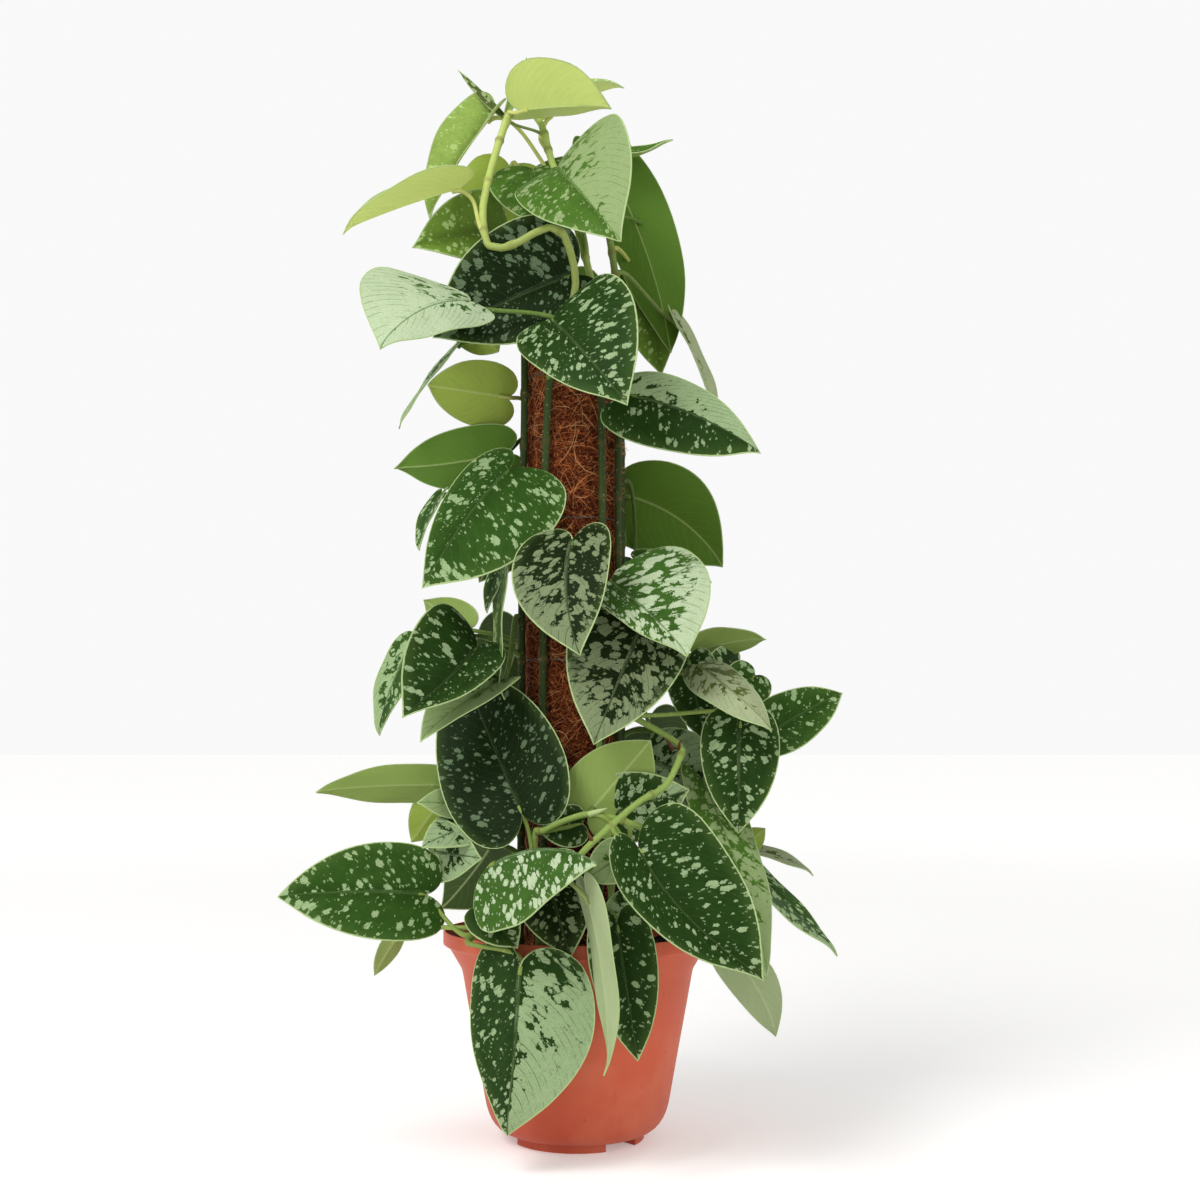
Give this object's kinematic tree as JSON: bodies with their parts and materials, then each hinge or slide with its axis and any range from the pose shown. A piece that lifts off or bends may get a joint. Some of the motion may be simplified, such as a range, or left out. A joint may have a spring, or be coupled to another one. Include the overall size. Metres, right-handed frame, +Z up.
{
  "type": "potted satin pothos",
  "caption": "Climbing aroid with heart-shaped, silver-marked leaves, grown up a coir-wrapped pole and trailing over a round plastic nursery pot.",
  "frame": {"origin": "middle of the pot's underside, on the surface that it stands on", "axes": "+Z up along the pot's axis; -Y toward the pictured side; +X to the right as seen from there"},
  "size_m": [0.3784, 0.2912, 0.7745],
  "materials": {
    "pot_plastic": "satin moulded",
    "soil": "crumbly, damp",
    "stake": "rough",
    "coir": "coarse fibre",
    "wire": "dull",
    "foliage": "satin, silver-marked"
  },
  "bodies": {
    "root": {"pot": "pot_plastic", "soil": "soil", "pole_core": "stake", "coir_sleeve": "coir", "tie_low": "wire", "tie_middle": "wire", "tie_top": "wire", "vine_front_left": "foliage", "vine_front_right": "foliage", "vine_left": "foliage", "vine_right": "foliage", "vine_rear_right": "foliage", "vine_rear_left": "foliage", "vine_back_right": "foliage", "vine_back_left": "foliage", "runner_right": "foliage", "runner_middle": "foliage", "runner_rim": "foliage"}
  },
  "joints": []
}
